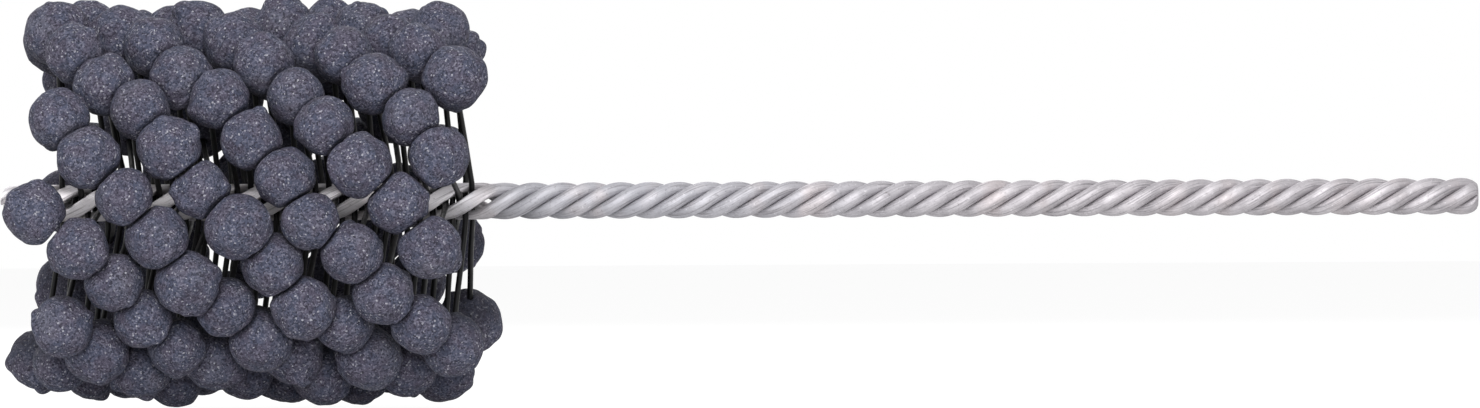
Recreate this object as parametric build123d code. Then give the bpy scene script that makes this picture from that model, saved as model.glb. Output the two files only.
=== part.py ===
from build123d import *
import math
import os
import random

# Flexible ball hone, in millimetres.
# The stem lies along X with its driven end at the origin and the head towards -X. +Z is up.
# Angles round the stem start at the front (-Y) and grow towards +Z.

# Stem: four round wires twisted together, left hand
overall_length = 203.2
wire_names = ["a", "b", "c", "d"]
wire_diameter = 1.95
wire_gap = 0.04
shank_lead = 15.95
nose_length = 2.0
nose_depth = 1.1
tip_reach = 8.33
twist_change = 2.5
stations_per_turn = 13

# Filaments: each crosses the stem between the wires and carries a ball on both ends
clamped_length = 56.4
filament_diameter = 0.80
filament_gap = 0.095
clamp_gap = 0.03
root_clearance = 0.10
first_angle = 72.0

# Rows: balls that stand behind each other along the stem and lean together
row_count = 24
rows_per_filament = 7
row_drift = 0.317
head_lean = 2.0

# Balls: abrasive globules moulded on the filament ends, pressed flat where they meet
free_diameter = 55.8
ball_diameter = 8.55
ball_size_spread = 0.07
ball_gap = 0.30
neck_reach = 0.45
neck_wall = 0.42
bond_gap = 0.04
grip_past_centre = 1.5

# How the moulded balls settle between each other
settle_seed = 8864
settle_scatter = 0.55
settle_inward = 1.0
settle_outward = 0.35
settle_rounds = 20
settle_step = 0.25
settle_contact = 0.88
tip_freedom = 4.0
tip_filaments = 4

wire_radius = wire_diameter / 2
filament_radius = filament_diameter / 2
filament_pitch = filament_diameter + filament_gap
filament_count = int(clamped_length / filament_pitch) + 1
clamp_reach = wire_radius + filament_radius
groove_step = 360.0 / len(wire_names)
filament_turn = rows_per_filament * 360.0 / row_count + row_drift
head_lead = 360.0 / (filament_turn - groove_step) * filament_pitch
first_station = tip_reach - overall_length
last_station = first_station + filament_pitch * (filament_count - 1)
ball_circle_radius = (free_diameter - ball_diameter) / 2


def smooth_step(share):
    share = min(max(share, 0.0), 1.0)
    return share * share * (3.0 - 2.0 * share)


def round_stem(x, radius, angle):
    turned = math.radians(angle)
    return Vector(x, -radius * math.cos(turned), radius * math.sin(turned))


def smallest_radius(distance_at, needed):
    """Radius of the wire circle at which the nearest approach is just the needed one."""
    low = 0.0
    high = 2 * wire_diameter + filament_diameter
    while high - low > wire_gap / 1000:
        middle = (low + high) / 2
        if distance_at(middle) < needed:
            low = middle
        else:
            high = middle
    return high


def near_stations(lead):
    steps = 200
    return [lead * step / steps / 2 for step in range(-steps, steps + 1)]


def wire_to_wire(radius):
    def distance(x):
        apart = groove_step + 360.0 * x / shank_lead
        return math.hypot(x, 2 * radius * math.sin(math.radians(apart) / 2))
    return min(distance(x) for x in near_stations(shank_lead / 2))


def wire_to_filament(radius):
    def distance(x):
        apart = groove_step / 2 + 360.0 * x / head_lead
        return math.hypot(x, radius * math.sin(math.radians(apart)))
    return min(distance(x) for x in near_stations(head_lead / 2))


shank_wire_circle = smallest_radius(wire_to_wire, wire_diameter + wire_gap)
head_wire_circle = smallest_radius(wire_to_filament, wire_radius + filament_radius + clamp_gap)
root_radius = head_wire_circle + wire_radius + filament_radius + root_clearance


def head_share(x):
    """1 where the wires are spread over filaments, 0 where they lie on each other."""
    before = smooth_step((x - first_station + clamp_reach + twist_change) / twist_change)
    after = smooth_step((last_station + clamp_reach + twist_change - x) / twist_change)
    return before * after


def stem_stations():
    """Distance along the stem, wire circle radius and twist at every station."""
    step = shank_lead / stations_per_turn
    start = -overall_length - wire_diameter
    count = math.ceil((overall_length + 2 * wire_diameter) / step)
    rows = []
    twist = 0.0
    for index in range(count + 1):
        x = start + step * index
        share = head_share(x)
        radius = shank_wire_circle + (head_wire_circle - shank_wire_circle) * share
        rows.append([x, radius, twist])
        middle = head_share(x + step / 2)
        lead_turn = (1 - middle) / shank_lead + middle / head_lead
        twist += 360.0 * step * lead_turn
    middle_station = (first_station + last_station) / 2
    nearest = min(rows, key=lambda row: abs(row[0] - middle_station))
    wanted = first_angle + 360.0 * (nearest[0] - first_station) / head_lead
    shift = wanted - nearest[2]
    return [(x, radius, twist + shift) for x, radius, twist in rows]


def driven_end():
    """Ring of metal ground away from the driven end to leave a blunt nose."""
    outside = shank_wire_circle + 2 * wire_diameter
    inside = shank_wire_circle + wire_radius
    corners = [
        (-nose_length, inside),
        (0, inside - nose_depth),
        (0, 0),
        (2 * wire_diameter, 0),
        (2 * wire_diameter, outside),
        (-nose_length, outside),
    ]
    profile = make_face(Polyline(corners, close=True))
    return revolve(profile, Axis.X)


def stem_wire(index, stations, ground_away):
    angle = groove_step * (index + 0.5)
    points = [round_stem(x, radius, twist + angle) for x, radius, twist in stations]
    path = Edge.make_spline(points)
    section = Plane(origin=path @ 0, z_dir=path % 0) * Circle(wire_radius)
    wire = sweep(section, path)
    wire = split(wire, bisect_by=Plane(origin=(-overall_length, 0, 0), z_dir=(1, 0, 0)))
    return wire - ground_away


def clamped_filament(index):
    x = first_station + filament_pitch * index
    half = root_radius - filament_radius - root_clearance
    end = round_stem(x, half, first_angle + filament_turn * index)
    start = round_stem(x, -half, first_angle + filament_turn * index)
    place = Plane(origin=start, z_dir=end - start)
    rod = Cylinder(filament_radius, 2 * half, align=(Align.CENTER, Align.CENTER, Align.MIN))
    return place * rod


def scattered_balls():
    """Filament, end, centre and radius of every ball before the balls press on each other."""
    chance = random.Random(settle_seed)
    balls = []
    for index in range(filament_count):
        looseness = 1.0 + tip_freedom * max(0.0, 1.0 - index / tip_filaments)
        for end in range(2):
            along = chance.uniform(-settle_scatter, settle_scatter) * looseness
            across = chance.uniform(-settle_scatter, settle_scatter) / ball_circle_radius
            angle = first_angle + filament_turn * index + 180.0 * end + math.degrees(across)
            out = ball_circle_radius + chance.uniform(-settle_inward, settle_outward)
            size = 1 + chance.uniform(-ball_size_spread, ball_size_spread)
            x = first_station - head_lean + filament_pitch * index + along
            balls.append((index, end, round_stem(x, out, angle), ball_diameter / 2 * size))
    return balls


def pushed_apart(balls):
    """One round of the balls easing away from the neighbours they press on."""
    moved = []
    for index, end, centre, radius in balls:
        push = Vector(0, 0, 0)
        for _, _, other, other_radius in balls:
            away = centre - other
            apart = away.length
            press = settle_contact * (radius + other_radius) - apart
            if apart > 0 and press > 0:
                push += away * (press * settle_step / apart)
        centre = centre + push
        out = math.hypot(centre.Y, centre.Z)
        lowest = ball_circle_radius - settle_inward
        highest = ball_circle_radius + settle_outward
        scale = min(max(out, lowest), highest) / out
        moved.append((index, end, Vector(centre.X, centre.Y * scale, centre.Z * scale), radius))
    return moved


def settled_balls():
    balls = scattered_balls()
    for _ in range(settle_rounds):
        balls = pushed_apart(balls)
    return balls


def row_of(index, end):
    return (rows_per_filament * index + row_count // 2 * end) % row_count


def root_of(index, end):
    x = first_station + filament_pitch * index
    return round_stem(x, root_radius, first_angle + filament_turn * index + 180.0 * end)


def outer_filament(index, end, centre):
    root = root_of(index, end)
    length = (centre - root).length + grip_past_centre
    outline = [
        CenterArc((0, 0), filament_radius, -90, 90),
        Polyline((filament_radius, 0), (filament_radius, length), (0, length), (0, -filament_radius)),
    ]
    profile = Plane.XZ * make_face(Curve() + outline)
    return Plane(origin=root, z_dir=centre - root) * revolve(profile, Axis.Z)


def ball_blank(radius):
    """Round ball about the origin with its neck and filament hole towards +Z."""
    collar = filament_radius + neck_wall
    bore = filament_radius + bond_gap
    top = radius + neck_reach
    reach = math.hypot(collar, top)
    meeting = math.atan2(collar, top) + math.acos(radius / reach)
    bottom = -grip_past_centre - bond_gap
    touch = (radius * math.sin(meeting), radius * math.cos(meeting))
    side = (radius * math.sin((meeting + math.pi) / 2), radius * math.cos((meeting + math.pi) / 2))
    outline = [
        ThreePointArc((0, -radius), side, touch),
        Polyline(touch, (collar, top), (bore, top), (bore, bottom), (0, bottom), (0, -radius)),
    ]
    profile = Plane.XZ * make_face(Curve() + outline)
    return revolve(profile, Axis.Z)


def abrasive_ball(ball, balls):
    index, end, centre, radius = ball
    root = root_of(index, end)
    solid = Plane(origin=centre, z_dir=root - centre) * ball_blank(radius)
    for _, _, other, other_radius in balls:
        away = other - centre
        apart = away.length
        if 0 < apart < radius + other_radius + ball_gap:
            middle = (apart * apart + radius * radius - other_radius * other_radius) / (2 * apart)
            direction = away / apart
            meeting = Plane(origin=centre + direction * (middle - ball_gap / 2), z_dir=direction)
            solid = split(solid, bisect_by=meeting, keep=Keep.BOTTOM)
    return solid


def solids_of(shapes):
    return [solid for shape in shapes for solid in shape.solids()]


def save(shapes, name):
    export_step(Compound(solids_of(shapes)), "parts/" + name + ".step")


os.makedirs("parts", exist_ok=True)

stations = stem_stations()
ground_away = driven_end()
for index, name in enumerate(wire_names):
    save([stem_wire(index, stations, ground_away)], "stem_wire_" + name)

save([clamped_filament(index) for index in range(filament_count)], "clamped_filaments")

balls = settled_balls()
for row in range(row_count):
    members = [ball for ball in balls if row_of(ball[0], ball[1]) == row]
    number = str(row + 1).zfill(2)
    save([abrasive_ball(ball, balls) for ball in members], "ball_row_" + number)
    save([outer_filament(ball[0], ball[1], ball[2]) for ball in members], "filament_row_" + number)
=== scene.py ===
import bpy
import bmesh
import math
import numpy as np
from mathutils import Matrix, Quaternion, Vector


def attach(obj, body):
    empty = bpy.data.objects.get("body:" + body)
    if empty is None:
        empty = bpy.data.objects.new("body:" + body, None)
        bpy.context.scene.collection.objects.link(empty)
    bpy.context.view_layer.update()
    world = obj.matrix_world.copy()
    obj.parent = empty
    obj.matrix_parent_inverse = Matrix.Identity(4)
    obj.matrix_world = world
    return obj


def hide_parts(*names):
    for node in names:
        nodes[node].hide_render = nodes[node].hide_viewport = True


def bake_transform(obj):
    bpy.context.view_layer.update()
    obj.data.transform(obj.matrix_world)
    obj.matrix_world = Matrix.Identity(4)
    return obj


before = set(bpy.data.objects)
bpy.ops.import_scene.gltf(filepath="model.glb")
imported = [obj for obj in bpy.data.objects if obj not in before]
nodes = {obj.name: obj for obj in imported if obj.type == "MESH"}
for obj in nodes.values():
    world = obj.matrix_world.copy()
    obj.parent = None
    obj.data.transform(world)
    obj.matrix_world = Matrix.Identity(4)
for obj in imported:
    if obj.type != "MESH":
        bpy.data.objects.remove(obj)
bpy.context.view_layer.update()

mm = 0.001
weldDistance = 1e-6  # metres, joins the loose triangles of the CAD meshes
print("frame loaded,", len(nodes), "nodes")


# shader and geometry sums written as expressions
class Flow:
    # one output socket of a node tree
    def __init__(self, tree, socket=None):
        self.tree = tree
        self.socket = socket

    def node(self, kind, settings=None, values=None, out=0):
        made = self.tree.nodes.new(kind)
        for name, value in (settings or {}).items():
            setattr(made, name, value)
        for name, value in (values or {}).items():
            target = made.inputs[name]
            if isinstance(value, Flow):
                self.tree.links.new(value.socket, target)
            else:
                target.default_value = value
        return Flow(self.tree, made.outputs[out])

    def output(self, name):
        # another output of the same node
        return Flow(self.tree, self.socket.node.outputs[name])

    def math(self, operation, other, swapped=False):
        first, second = (other, self) if swapped else (self, other)
        return self.node("ShaderNodeMath", {"operation": operation}, {0: first, 1: second})

    def __add__(self, other): return self.math("ADD", other)
    def __radd__(self, other): return self.math("ADD", other, True)
    def __sub__(self, other): return self.math("SUBTRACT", other)
    def __rsub__(self, other): return self.math("SUBTRACT", other, True)
    def __mul__(self, other): return self.math("MULTIPLY", other)
    def __rmul__(self, other): return self.math("MULTIPLY", other, True)
    def __pow__(self, other): return self.math("POWER", other)

    def vector(self, operation, other=None, scale=None):
        values = {0: self}
        if other is not None:
            values[1] = other
        if scale is not None:
            values["Scale"] = scale
        return self.node("ShaderNodeVectorMath", {"operation": operation}, values)

    def span(self, low, high):
        # 0 at the first value and 1 at the second
        values = {"Value": self, "From Min": low, "From Max": high}
        return self.node("ShaderNodeMapRange", {"clamp": True}, values)

    def noise(self, scale, detail, seed=None, out=0):
        kind, values = "ShaderNodeTexNoise", {"Vector": self, "Scale": scale, "Detail": detail}
        if seed is None:
            return self.node(kind, None, values, out)
        return self.node(kind, {"noise_dimensions": "4D"}, {**values, "W": seed}, out)

    def blendColours(self, first, second):
        # the Mix node's colours are its inputs 6 and 7 and its output 2
        values = {"Factor": self, 6: first, 7: second}
        return self.node("ShaderNodeMix", {"data_type": "RGBA"}, values, 2)


def backgroundShare(flow):
    # 1 where a ray shows the backdrop: seen directly, mirrored in metal or through something clear
    path = flow.node("ShaderNodeLightPath")
    direct = path.output("Is Camera Ray").math("MAXIMUM", path.output("Is Glossy Ray"))
    return direct.math("MAXIMUM", path.output("Is Transmission Ray"))


def newMaterial(name, constants):
    material = bpy.data.materials.new(name)
    material.use_nodes = True
    surface = material.node_tree.nodes["Principled BSDF"]
    for socket, value in constants.items():
        surface.inputs[socket].default_value = value
    return material, surface, Flow(material.node_tree)


def feed(surface, socket, value):
    value.tree.links.new(value.socket, surface.inputs[socket])


def coated(base, mask, coat, curve=None):
    # one more colour over the base, as far as the mask lies in the coat's span
    tint, span, share = coat
    amount = mask.span(*span)
    if curve:
        amount = amount ** curve
    return (amount * share).blendColours(base, tint)


def colour(red, green, blue):
    return (red, green, blue, 1.0)


# grit bonded in resin, lengths in metres
abrasiveLook = {
    "blue": colour(0.056, 0.062, 0.097), "brown": colour(0.064, 0.058, 0.086),
    "patch": 0.0022, "patchSpan": (0.40, 0.60),
    # coats over them: colour, mask values where it starts and where it is full, share
    "dust": (colour(0.125, 0.122, 0.150), (0.54, 0.74), 0.45), "dustPatch": 0.0055,
    "pale": (colour(0.178, 0.174, 0.222), (0.55, 1.0), 0.64), "paleCurve": 1.5,
    "dark": (colour(0.014, 0.014, 0.021), (0.45, 0.0), 0.80),
    "glint": (colour(0.33, 0.33, 0.37), (0.965, 0.985), 0.8),
    # painted shade on the ball sides that face the stem
    "inside": (colour(0.016, 0.016, 0.022), (0.0236, 0.0200), 0.65),
    "grain": 0.00022, "fineGrains": 1.6, "fineHeight": 0.8, "grainHeight": 0.6, "bump": 0.00012,
    "roughness": 0.88, "polish": 0.3, "polishSpan": (0.85, 1.0),
}


def abrasiveMaterial():
    look = abrasiveLook
    constants = {"Metallic": 0.0, "IOR": 1.5, "Specular IOR Level": 0.2}
    material, surface, flow = newMaterial("abrasiveGrit", constants)
    place = flow.node("ShaderNodeTexCoord", out="Object")
    patches = place.noise(1 / look["patch"], 3.0)
    dust = place.noise(1 / look["dustPatch"], 4.0)
    fine = place.noise(look["fineGrains"] / look["grain"], 2.0)
    values = {"Vector": place, "Scale": 1 / look["grain"]}
    grains = flow.node("ShaderNodeTexVoronoi", {"feature": "F1"}, values)
    tone = flow.node("ShaderNodeSeparateXYZ", None, {"Vector": grains.output("Color")})
    # painted shade: the sides that face the stem are darkened, where shade falls between the balls
    fromStem = place.vector("MULTIPLY", (0.0, 1.0, 1.0)).vector("LENGTH").output("Value")

    base = patches.span(*look["patchSpan"]).blendColours(look["blue"], look["brown"])
    base = coated(base, dust, look["dust"])
    base = coated(base, tone, look["pale"], look["paleCurve"])
    base = coated(base, tone, look["dark"])
    base = coated(base, tone.output("Z"), look["glint"])
    base = coated(base, fromStem, look["inside"])
    feed(surface, "Base Color", base)
    feed(surface, "Roughness", look["roughness"] - tone.span(*look["polishSpan"]) * look["polish"])
    height = fine * look["fineHeight"] + (1.0 - grains) * look["grainHeight"]
    values = {"Height": height, "Strength": 1.0, "Distance": look["bump"]}
    feed(surface, "Normal", flow.node("ShaderNodeBump", None, values))
    return material


# drawn steel wire, lengths in metres
wireLook = {
    "bright": colour(0.530, 0.505, 0.528), "dull": colour(0.385, 0.366, 0.385),
    "patch": 0.004, "patchAcross": 0.6, "patchSpan": (0.36, 0.64),
    # painted light within the head, where the balls shade the wire, and painted shade and ball
    # reflection, darker and bluer, in the bare shank near it, measured along the wire from its tip
    "headPaintedLightAndPolish": colour(0.800, 0.775, 0.800), "headPaintedLightAndPolishSpan": (0.088, 0.074), "headPaintedLightShare": 0.60,
    "paintedHeadShade": colour(0.405, 0.415, 0.455), "paintedHeadShadeShare": 0.6,
    "paintedHeadShadeRise": (0.070, 0.085), "paintedHeadShadeFall": (0.165, 0.110),
    # coats over them: colour, mask values where it starts and where it is full, share
    "warm": (colour(0.530, 0.470, 0.470), (0.52, 0.70), 0.6), "warmScale": 0.55,
    "line": (colour(0.200, 0.190, 0.203), (0.54, 0.68), 0.70),
    "fineLine": (colour(0.200, 0.190, 0.203), (0.56, 0.70), 0.50), "fineLineScale": 2.3,
    "stain": (colour(0.170, 0.152, 0.156), (0.62, 0.76), 0.5), "speckScale": 2600.0,
    "nickGlint": (colour(0.820, 0.800, 0.820), (0.36, 0.28), 0.35),
    "drawLength": 0.0065, "drawWidth": 0.00022,
    "metal": 0.70, "edge": colour(0.45, 0.45, 0.47),
    "roughness": 0.57, "roughSpread": 0.15, "roughPatch": (0.3, 0.7), "roughSpeck": (0.55, 0.8),
    "fineHeight": 0.5, "speckHeight": 0.4, "bump": 0.00004, "bumpStrength": 0.8,
}


def wireMaterial():
    look = wireLook
    constants = {"Metallic": look["metal"], "Specular Tint": look["edge"]}
    material, surface, flow = newMaterial("drawnWire", constants)
    # along the wire and across it, so that the marks follow the twist
    track = flow.node("ShaderNodeAttribute", {"attribute_name": "wireTrack"}, out="Vector")
    along = flow.node("ShaderNodeSeparateXYZ", None, {"Vector": track})
    narrow, broad = 1 / look["drawWidth"], look["patchAcross"] / look["patch"]
    drawn = track.vector("MULTIPLY", (1 / look["drawLength"], narrow, narrow))
    spread = track.vector("MULTIPLY", (1 / look["patch"], broad, broad))
    lines = drawn.noise(1.0, 3.0)
    fineLines = drawn.noise(look["fineLineScale"], 2.0)
    patches = spread.noise(1.0, 5.0)
    tints = spread.noise(look["warmScale"], 3.0)
    specks = track.noise(look["speckScale"], 3.0)

    base = patches.span(*look["patchSpan"]).blendColours(look["bright"], look["dull"])
    # painted shade and ball reflection: darker, bluer wire in the bare shank near the head
    paintedHeadShade = along.span(*look["paintedHeadShadeFall"]) * along.span(*look["paintedHeadShadeRise"])
    base = (paintedHeadShade * look["paintedHeadShadeShare"]).blendColours(base, look["paintedHeadShade"])
    # painted light: lighter wire within the head, where the balls shade it; it is also less rough
    # there
    headPaintedLightAndPolish = along.span(*look["headPaintedLightAndPolishSpan"])
    base = (headPaintedLightAndPolish * look["headPaintedLightShare"]).blendColours(base, look["headPaintedLightAndPolish"])
    base = coated(base, tints, look["warm"])
    base = coated(base, lines, look["line"])
    base = coated(base, fineLines, look["fineLine"])
    base = coated(base, specks, look["stain"])
    # nicks in the wire, painted bright as glints
    base = coated(base, specks, look["nickGlint"])
    feed(surface, "Base Color", base)
    rough = patches.span(*look["roughPatch"]) + specks.span(*look["roughSpeck"]) - headPaintedLightAndPolish
    feed(surface, "Roughness", look["roughness"] + rough * look["roughSpread"])
    height = lines + fineLines * look["fineHeight"] + specks * look["speckHeight"]
    values = {"Height": height, "Strength": look["bumpStrength"], "Distance": look["bump"]}
    feed(surface, "Normal", flow.node("ShaderNodeBump", None, values))
    return material


filamentLook = {
    "body": colour(0.0012, 0.0012, 0.0015), "worn": colour(0.0035, 0.0035, 0.0042),
    "wearScale": 900.0, "wornSpan": (0.4, 0.7),
    "roughness": 0.36, "roughSpread": 0.2, "roughSpan": (0.3, 0.7),
}


def filamentMaterial():
    look = filamentLook
    constants = {"IOR": 1.53, "Specular IOR Level": 0.22}
    material, surface, flow = newMaterial("blackNylon", constants)
    wear = flow.node("ShaderNodeTexCoord", out="Object").noise(look["wearScale"], 3.0)
    worn = wear.span(*look["wornSpan"])
    feed(surface, "Base Color", worn.blendColours(look["body"], look["worn"]))
    rough = wear.span(*look["roughSpan"]) * look["roughSpread"]
    feed(surface, "Roughness", look["roughness"] + rough)
    return material


abrasiveGrit = abrasiveMaterial()
drawnWire = wireMaterial()
blackNylon = filamentMaterial()
print("finishes made")


def newPiece(name, mesh):
    piece = bpy.data.objects.new(name, mesh)
    bpy.context.scene.collection.objects.link(piece)
    return piece


def pathPiece(name, paths):
    # loose polylines in one mesh
    points, edges = [], []
    for path in paths:
        first = len(points)
        points += [tuple(point) for point in path]
        edges += [(first + index, first + index + 1) for index in range(len(path) - 1)]
    mesh = bpy.data.meshes.new(name)
    mesh.from_pydata(points, edges, [])
    return newPiece(name, mesh)


# geometry trees, each one with its sizes as named inputs
def newTree(name, sizes):
    tree = bpy.data.node_groups.new(name, "GeometryNodeTree")
    tree.interface.new_socket(name="Shape", in_out="INPUT", socket_type="NodeSocketGeometry")
    special = {"Finish": "NodeSocketMaterial", "Neighbours": "NodeSocketObject"}
    for label, value in sizes.items():
        kind = special.get(label, "NodeSocketInt" if isinstance(value, int) else "NodeSocketFloat")
        tree.interface.new_socket(name=label, in_out="INPUT", socket_type=kind)
    tree.interface.new_socket(name="Shape", in_out="OUTPUT", socket_type="NodeSocketGeometry")
    start = tree.nodes.new("NodeGroupInput")
    given = {socket.name: Flow(tree, socket) for socket in start.outputs if socket.name}
    return Flow(tree), given


def endTree(flow, shape, finish):
    shape = flow.node("GeometryNodeSetShadeSmooth", None, {"Geometry": shape})
    shape = flow.node("GeometryNodeRealizeInstances", None, {"Geometry": shape})
    shape = flow.node("GeometryNodeSetMaterial", None, {"Geometry": shape, "Material": finish})
    end = flow.tree.nodes.new("NodeGroupOutput")
    flow.tree.links.new(shape.socket, end.inputs["Shape"])
    return flow.tree


def grown(piece, tree, sizes):
    # evaluates the piece once with the tree on it and leaves a plain mesh
    modifier = piece.modifiers.new(tree.name, "NODES")
    modifier.node_group = tree
    for item in tree.interface.items_tree:
        if item.in_out == "INPUT" and item.name in sizes:
            modifier[item.identifier] = sizes[item.name]
    bpy.context.view_layer.update()
    seen = piece.evaluated_get(bpy.context.evaluated_depsgraph_get())
    mesh = bpy.data.meshes.new_from_object(seen)
    name, old = piece.name, piece.data
    bpy.data.objects.remove(piece)
    bpy.data.meshes.remove(old)
    mesh.name = name
    return newPiece(name, mesh)


def remembered(flow, shape, kind, name, value):
    # the shape with a value kept on its points, and that value
    kept = flow.tree.nodes.new("GeometryNodeCaptureAttribute")
    kept.capture_items.new(kind, name)
    flow.tree.links.new(shape.socket, kept.inputs[0])
    flow.tree.links.new(value.socket, kept.inputs[1])
    return Flow(flow.tree, kept.outputs[0]), Flow(flow.tree, kept.outputs[1])


# a round rod along each line, for the wires and the filaments
rod = {"swayScale": 60.0, "swayDetail": 1.0}


def rodTree():
    sizes = {"Radius": 0.001, "Spacing": 0.001, "Sides": 12, "Bow": 0.0, "Seed": 0.0, "Finish": None}
    flow, given = newTree("roundRod", sizes)
    line = flow.node("GeometryNodeMeshToCurve", None, {"Mesh": given["Shape"]})
    values = {"Curve": line, "Length": given["Spacing"]}
    line = flow.node("GeometryNodeResampleCurve", {"mode": "LENGTH"}, values)
    along = flow.node("GeometryNodeSplineParameter", out="Length")
    share = along.output("Factor")
    # each line bows a little between its ends, its own way
    place = flow.node("GeometryNodeInputPosition")
    sway = place.noise(rod["swayScale"], rod["swayDetail"], given["Seed"], "Color")
    sway = sway.vector("SUBTRACT", (0.5, 0.5, 0.5))
    sway = sway.vector("SCALE", scale=given["Bow"] * share * (1.0 - share) * 4.0)
    line = flow.node("GeometryNodeSetPosition", None, {"Geometry": line, "Offset": sway})
    values = {"Resolution": given["Sides"], "Radius": given["Radius"]}
    ring = flow.node("GeometryNodeCurvePrimitiveCircle", None, values)
    line, along = remembered(flow, line, "FLOAT", "along", along)
    ring, spot = remembered(flow, ring, "VECTOR", "spot", flow.node("GeometryNodeInputPosition"))
    values = {"Curve": line, "Profile Curve": ring, "Fill Caps": True}
    shape = flow.node("GeometryNodeCurveToMesh", None, values)
    across = flow.node("ShaderNodeSeparateXYZ", None, {"Vector": spot})
    values = {"X": along, "Y": across, "Z": across.output("Y")}
    track = flow.node("ShaderNodeCombineXYZ", None, values)
    settings = {"data_type": "FLOAT_VECTOR", "domain": "POINT"}
    values = {"Geometry": shape, "Name": "wireTrack", "Value": track}
    shape = flow.node("GeometryNodeStoreNamedAttribute", settings, values)
    return endTree(flow, shape, given["Finish"])


roundRod = rodTree()
print("rod tree made")


# four wires twisted left-handed, spread apart where the filaments pass between them
# in millimetres and degrees
stem = {
    "length": 203.2, "wireRadius": 0.975, "shankCircle": 1.5533, "headCircle": 2.2357,
    "shankLead": 15.95, "headLead": 21.035, "change": 2.5, "clampReach": 1.375,
    "firstFilament": -194.87, "lastFilament": -138.485, "firstAngle": 72.0, "wireAngle": 90.0,
    "noseLength": 2.3, "noseDepth": 1.3, "noseCurve": 2.2,
    "tipShear": 0.35, "tipShort": 0.9, "tipShortLeast": 0.4, "tipSeed": 40,
    "step": 0.6, "sides": 28, "spacing": 0.30,
}


def eased(share):
    share = min(max(share, 0.0), 1.0)
    return share * share * (3.0 - 2.0 * share)


def headShare(x):
    # 1 where the wires are spread over filaments, 0 where they lie on each other
    margin = stem["clampReach"] + stem["change"]
    before = eased((x - stem["firstFilament"] + margin) / stem["change"])
    after = eased((stem["lastFilament"] + margin - x) / stem["change"])
    return before * after


def roundStem(x, radius, angle):
    # angles start at the front and grow upwards
    turned = math.radians(angle)
    return Vector((x, -radius * math.cos(turned), radius * math.sin(turned))) * mm


def twistStations():
    # place, wire circle and twist along the stem
    rows, twist = [], 0.0
    x = -stem["length"] - 2 * stem["wireRadius"]
    while x < 2 * stem["wireRadius"]:
        share = headShare(x)
        circle = stem["shankCircle"] + (stem["headCircle"] - stem["shankCircle"]) * share
        rows.append((x, circle, twist))
        share = headShare(x + stem["step"] / 2)
        turns = (1 - share) / stem["shankLead"] + share / stem["headLead"]
        twist += 360.0 * stem["step"] * turns
        x += stem["step"]
    middle = (stem["firstFilament"] + stem["lastFilament"]) / 2
    near = min(rows, key=lambda row: abs(row[0] - middle))
    turned = 360.0 * (near[0] - stem["firstFilament"]) / stem["headLead"]
    shift = stem["firstAngle"] + turned - near[2]
    return [(x, radius, twist + shift) for x, radius, twist in rows]


def trimEnds(mesh, index):
    # shears leave each wire's tip a little askew, and a grinder rounds the driven end to a nose
    chance = np.random.default_rng(stem["tipSeed"] + index)
    askew = chance.uniform(-stem["tipShear"], stem["tipShear"], 2)
    tip = (stem["tipShort"] * chance.uniform(stem["tipShortLeast"], 1.0) - stem["length"]) * mm
    near = [vert.co for vert in mesh.vertices if abs(vert.co.x - tip) < stem["wireRadius"] * mm]
    middle = sum(near, Vector((0, 0, 0))) / len(near)
    cuts = [
        ((0.0, 0.0, 0.0), (1.0, 0.0, 0.0)),
        ((tip, middle.y, middle.z), (-1.0, askew[0], askew[1])),
    ]
    work = bmesh.new()
    work.from_mesh(mesh)
    for place, facing in cuts:
        every = work.verts[:] + work.edges[:] + work.faces[:]
        bmesh.ops.bisect_plane(
            work, geom=every, dist=1e-7, plane_co=place, plane_no=facing, clear_outer=True)
        rim = [edge for edge in work.edges if edge.is_boundary]
        bmesh.ops.holes_fill(work, edges=rim, sides=0)
    outer = (stem["shankCircle"] + stem["wireRadius"]) * mm
    nose, depth = stem["noseLength"] * mm, stem["noseDepth"] * mm
    for vert in work.verts:
        share = min(max(0.0, vert.co.x + nose) / nose, 1.0)
        widest = outer - depth * (1.0 - math.sqrt(1.0 - share ** stem["noseCurve"]))
        out = math.hypot(vert.co.y, vert.co.z)
        if out > widest:
            vert.co.y *= widest / out
            vert.co.z *= widest / out
    bmesh.ops.recalc_face_normals(work, faces=work.faces)
    work.to_mesh(mesh)
    work.free()


def makeStem():
    stations = twistStations()
    for index, letter in enumerate("abcd"):
        angle = stem["wireAngle"] * (index + 0.5)
        path = [roundStem(x, radius, twist + angle) for x, radius, twist in stations]
        piece = pathPiece("wire_" + letter, [path])
        sizes = {
            "Radius": stem["wireRadius"] * mm, "Spacing": stem["spacing"] * mm,
            "Sides": stem["sides"], "Bow": 0.0, "Seed": float(index), "Finish": drawnWire,
        }
        piece = grown(piece, roundRod, sizes)
        trimEnds(piece.data, index)
        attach(piece, "stem")
        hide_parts("stem_wire_" + letter)


makeStem()
nodes["clamped_filaments"].data.materials.clear()
nodes["clamped_filaments"].data.materials.append(blackNylon)
print("stem made")


# each filament runs from between the wires out into its ball, in millimetres
filaments = {
    "radius": 0.40, "start": 2.2, "steps": 24, "spacing": 1.4, "sides": 8, "bow": 0.5,
    "bendStart": 4.0, "bendEnd": 18.0,
}


def looseParts(mesh):
    # vertex positions of each separate solid of a CAD node
    work = bmesh.new()
    work.from_mesh(mesh)
    bmesh.ops.remove_doubles(work, verts=work.verts, dist=weldDistance)
    work.verts.ensure_lookup_table()
    seen, parts = set(), []
    for vert in work.verts:
        if vert in seen:
            continue
        stack, part = [vert], []
        seen.add(vert)
        while stack:
            here = stack.pop()
            part.append(here.co[:])
            for edge in here.link_edges:
                other = edge.other_vert(here)
                if other not in seen:
                    seen.add(other)
                    stack.append(other)
        parts.append(np.array(part))
    work.free()
    return parts


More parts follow.
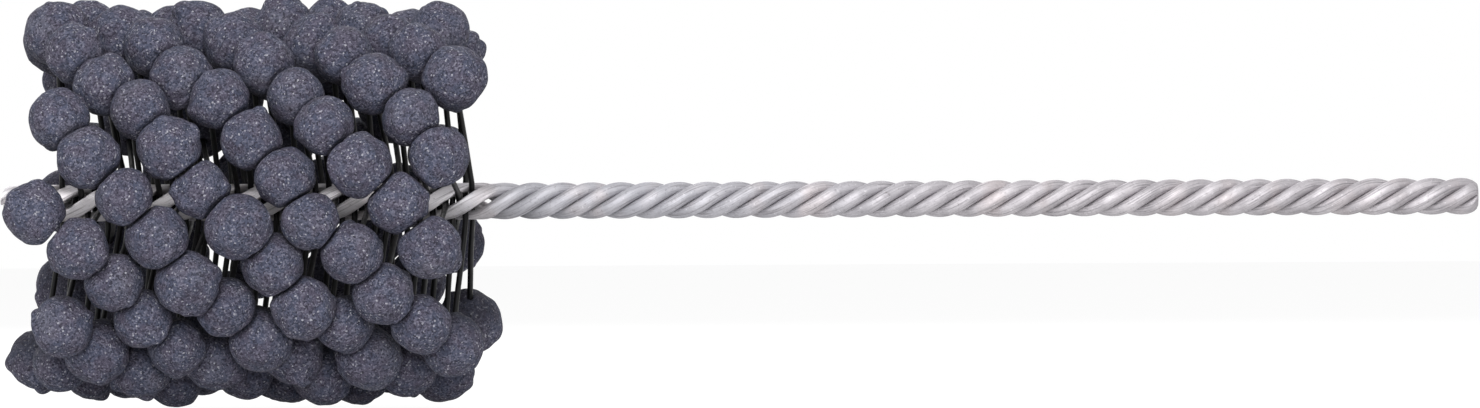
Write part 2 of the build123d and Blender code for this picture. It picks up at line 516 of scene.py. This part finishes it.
def rodEnds(part):
    # root and tip on the axis of one round rod
    centre = part.mean(0)
    direction = np.linalg.svd(part - centre)[2][0]
    reach = (part - centre) @ direction
    ends = [centre + direction * reach.min(), centre + direction * reach.max()]
    ends.sort(key=lambda end: math.hypot(end[1], end[2]))
    return ends


def makeFilaments(row):
    paths, roots = [], []
    steps = filaments["steps"]
    for part in looseParts(nodes["filament_row_" + row].data):
        root, tip = rodEnds(part)
        foot = np.array([root[0], 0.0, 0.0])
        inner = foot + (root - foot) * filaments["start"] * mm / np.linalg.norm(root - foot)
        paths.append([inner] + [root + (tip - root) * step / steps for step in range(steps + 1)])
        roots.append(root)
    piece = pathPiece("filaments_" + row, paths)
    sizes = {
        "Radius": filaments["radius"] * mm, "Spacing": filaments["spacing"] * mm,
        "Sides": filaments["sides"], "Bow": filaments["bow"] * mm,
        "Seed": float(row), "Finish": blackNylon,
    }
    piece = grown(piece, roundRod, sizes)
    out = np.mean(roots, 0) * (0, 1, 1)
    out = out / np.linalg.norm(out)
    "row_" + row
    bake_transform(piece)
    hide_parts("filament_row_" + row)


# moulded abrasive globules, pressed flat where they meet, in millimetres
balls = {
    "rows": 24, "besideRows": 3, "voxel": 0.27, "smooth": 5, "smoothShare": 0.5, "rowSeed": 3.7,
    "clearance": 0.30, "roomShare": 0.4,  # no lump takes more than this share of the room beside it
    "lumpHeight": 0.28, "lumpSize": 3.4, "lumpMiddle": 0.5, "lumpGain": 4.0,
    "noseHeight": 0.80, "noseSpan": (0.62, 0.82), "noseSeed": 17.0,
    "grainHeight": 0.05, "grainSize": 0.9, "grainMiddle": 0.6, "grainGain": 2.0, "grainSeed": 5.0,
}


def lumpTree():
    sizes = {
        "Neighbours": None, "Clearance": 0.0003, "Lump Height": 0.0003, "Lump Size": 0.003,
        "Nose Height": 0.0005, "Grain Height": 0.00005, "Grain Size": 0.0008,
        "Seed": 0.0, "Finish": None,
    }
    flow, given = newTree("mouldedLumps", sizes)
    values = {"Object": given["Neighbours"]}
    others = flow.node("GeometryNodeObjectInfo", None, values, "Geometry")
    settings = {"target_element": "FACES"}
    apart = flow.node("GeometryNodeProximity", settings, {0: others}, "Distance")
    room = (apart - given["Clearance"]).math("MAXIMUM", 0.0) * balls["roomShare"]
    place = flow.node("GeometryNodeInputPosition")

    def noise(size, detail, shift):
        return place.noise(given[size] ** -1.0, detail, given["Seed"] + shift)

    lumps = (noise("Lump Size", 1.0, 0.0) - balls["lumpMiddle"]) * balls["lumpGain"]
    noses = noise("Lump Size", 0.0, balls["noseSeed"]).span(*balls["noseSpan"])
    grains = noise("Grain Size", 2.0, balls["grainSeed"]) - balls["grainMiddle"]
    rise = lumps * given["Lump Height"] + noses * given["Nose Height"]
    rise = rise.math("MINIMUM", room) + grains * balls["grainGain"] * given["Grain Height"]
    offset = flow.node("GeometryNodeInputNormal").vector("SCALE", scale=rise)
    values = {"Geometry": given["Shape"], "Offset": offset}
    shape = flow.node("GeometryNodeSetPosition", None, values)
    return endTree(flow, shape, given["Finish"])


mouldedLumps = lumpTree()
print("ball tree made")


def rowName(number):
    return str((number - 1) % balls["rows"] + 1).zfill(2)


def mergedBalls(name, rows):
    # one welded mesh of the CAD balls of some rows
    work = bmesh.new()
    for row in rows:
        work.from_mesh(nodes["ball_row_" + row].data)
    bmesh.ops.remove_doubles(work, verts=work.verts, dist=weldDistance)
    mesh = bpy.data.meshes.new(name)
    work.to_mesh(mesh)
    work.free()
    return newPiece(name, mesh)


def makeBalls(number):
    row, reach = rowName(number), balls["besideRows"]
    others = [rowName(number + step) for step in range(-reach, reach + 1) if step]
    beside = mergedBalls("beside", others)
    piece = mergedBalls("balls_" + row, [row])
    remesh = piece.modifiers.new("remesh", "REMESH")
    remesh.mode = "VOXEL"
    remesh.voxel_size = balls["voxel"] * mm
    remesh.use_smooth_shade = True
    smooth = piece.modifiers.new("smooth", "SMOOTH")
    smooth.factor = balls["smoothShare"]
    smooth.iterations = balls["smooth"]
    sizes = {
        "Neighbours": beside, "Clearance": balls["clearance"] * mm,
        "Lump Height": balls["lumpHeight"] * mm, "Lump Size": balls["lumpSize"] * mm,
        "Nose Height": balls["noseHeight"] * mm, "Grain Height": balls["grainHeight"] * mm,
        "Grain Size": balls["grainSize"] * mm,
        "Seed": number * balls["rowSeed"], "Finish": abrasiveGrit,
    }
    piece = grown(piece, mouldedLumps, sizes)
    unused = beside.data
    bpy.data.objects.remove(beside)
    bpy.data.meshes.remove(unused)
    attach(piece, "row_" + row)
    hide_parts("ball_row_" + row)


for number in range(1, balls["rows"] + 1):
    makeFilaments(rowName(number))
    makeBalls(number)
print("filaments and balls made")


# places and sizes in millimetres, strengths against a white of 1
studio = {
    "floor": -28.70, "floorSize": 4000.0, "floorColour": colour(0.93, 0.93, 0.93),
    "floorRoughness": 0.9, "floorGlow": 1.12, "floorGlowShare": 0.75,
    "white": colour(1, 1, 1), "world": 0.46, "backdrop": 1.0,
}

# place in metres, size in metres, power in watts
lamps = {
    "keyLight": ((-0.32, -0.85, 0.66), 0.7, 8.5),
    "fillLight": ((-0.05, -0.9, 0.20), 0.4, 3.8),
    "backLight": ((-0.25, 0.8, 0.6), 0.7, 4.0),
}
lampAim = (-0.12, 0, 0)

# in millimetres and degrees
view = {
    "centre": (-101.6, 0.0, -0.58), "distance": 1700.0, "width": 203.75, "roll": -0.29,
    "sensor": 36.0, "near": 10.0, "far": 100000.0,
}


def makeFloor():
    size, depth = studio["floorSize"] * mm, studio["floor"] * mm
    corners = [(-size, -size, depth), (size, -size, depth), (size, size, depth), (-size, size, depth)]
    mesh = bpy.data.meshes.new("floor")
    mesh.from_pydata(corners, [], [(0, 1, 2, 3)])
    piece = newPiece("floor", mesh)
    constants = {"Base Color": studio["floorColour"], "Roughness": studio["floorRoughness"]}
    material, surface, flow = newMaterial("paleFloor", constants)
    values = {"Color": studio["white"], "Strength": studio["floorGlow"]}
    glow = flow.node("ShaderNodeEmission", None, values)
    share = backgroundShare(flow) * studio["floorGlowShare"]
    values = {0: share, 1: Flow(flow.tree, surface.outputs[0]), 2: glow}
    feed(flow.tree.nodes["Material Output"], "Surface", flow.node("ShaderNodeMixShader", None, values))
    mesh.materials.append(material)


def makeWorld():
    world = bpy.data.worlds.new("studioLight")
    bpy.context.scene.world = world
    world.use_nodes = True
    world.node_tree.nodes.clear()
    flow = Flow(world.node_tree)
    kind, white = "ShaderNodeBackground", studio["white"]
    soft = flow.node(kind, None, {"Color": white, "Strength": studio["world"]})
    backdrop = flow.node(kind, None, {"Color": white, "Strength": studio["backdrop"]})
    values = {0: backgroundShare(flow), 1: soft, 2: backdrop}
    end = flow.tree.nodes.new("ShaderNodeOutputWorld")
    feed(end, "Surface", flow.node("ShaderNodeMixShader", None, values))


def areaLight(name, place, size, power):
    lamp = bpy.data.lights.new(name, "AREA")
    lamp.shape, lamp.size, lamp.energy = "DISK", size, power
    item = bpy.data.objects.new(name, lamp)
    bpy.context.scene.collection.objects.link(item)
    item.location = place
    facing = Vector(lampAim) - Vector(place)
    item.rotation_euler = facing.to_track_quat("-Z", "Y").to_euler()


def makeCamera():
    data = bpy.data.cameras.new("camera")
    data.sensor_width = view["sensor"]
    half = math.atan(view["width"] / 2 / view["distance"])
    data.lens = data.sensor_width / 2 / math.tan(half)
    data.clip_start, data.clip_end = view["near"] * mm, view["far"] * mm
    camera = bpy.data.objects.new("camera", data)
    bpy.context.scene.collection.objects.link(camera)
    x, y, z = view["centre"]
    camera.location = Vector((x, y - view["distance"], z)) * mm
    upright = Quaternion((1, 0, 0), math.radians(90))
    facing = upright @ Quaternion((0, 0, 1), math.radians(view["roll"]))
    camera.rotation_euler = facing.to_euler()
    bpy.context.scene.camera = camera


makeFloor()
makeWorld()
for name, (place, size, power) in lamps.items():
    areaLight(name, place, size, power)
makeCamera()
bpy.context.scene.view_settings.view_transform = "Standard"
print("studio made")
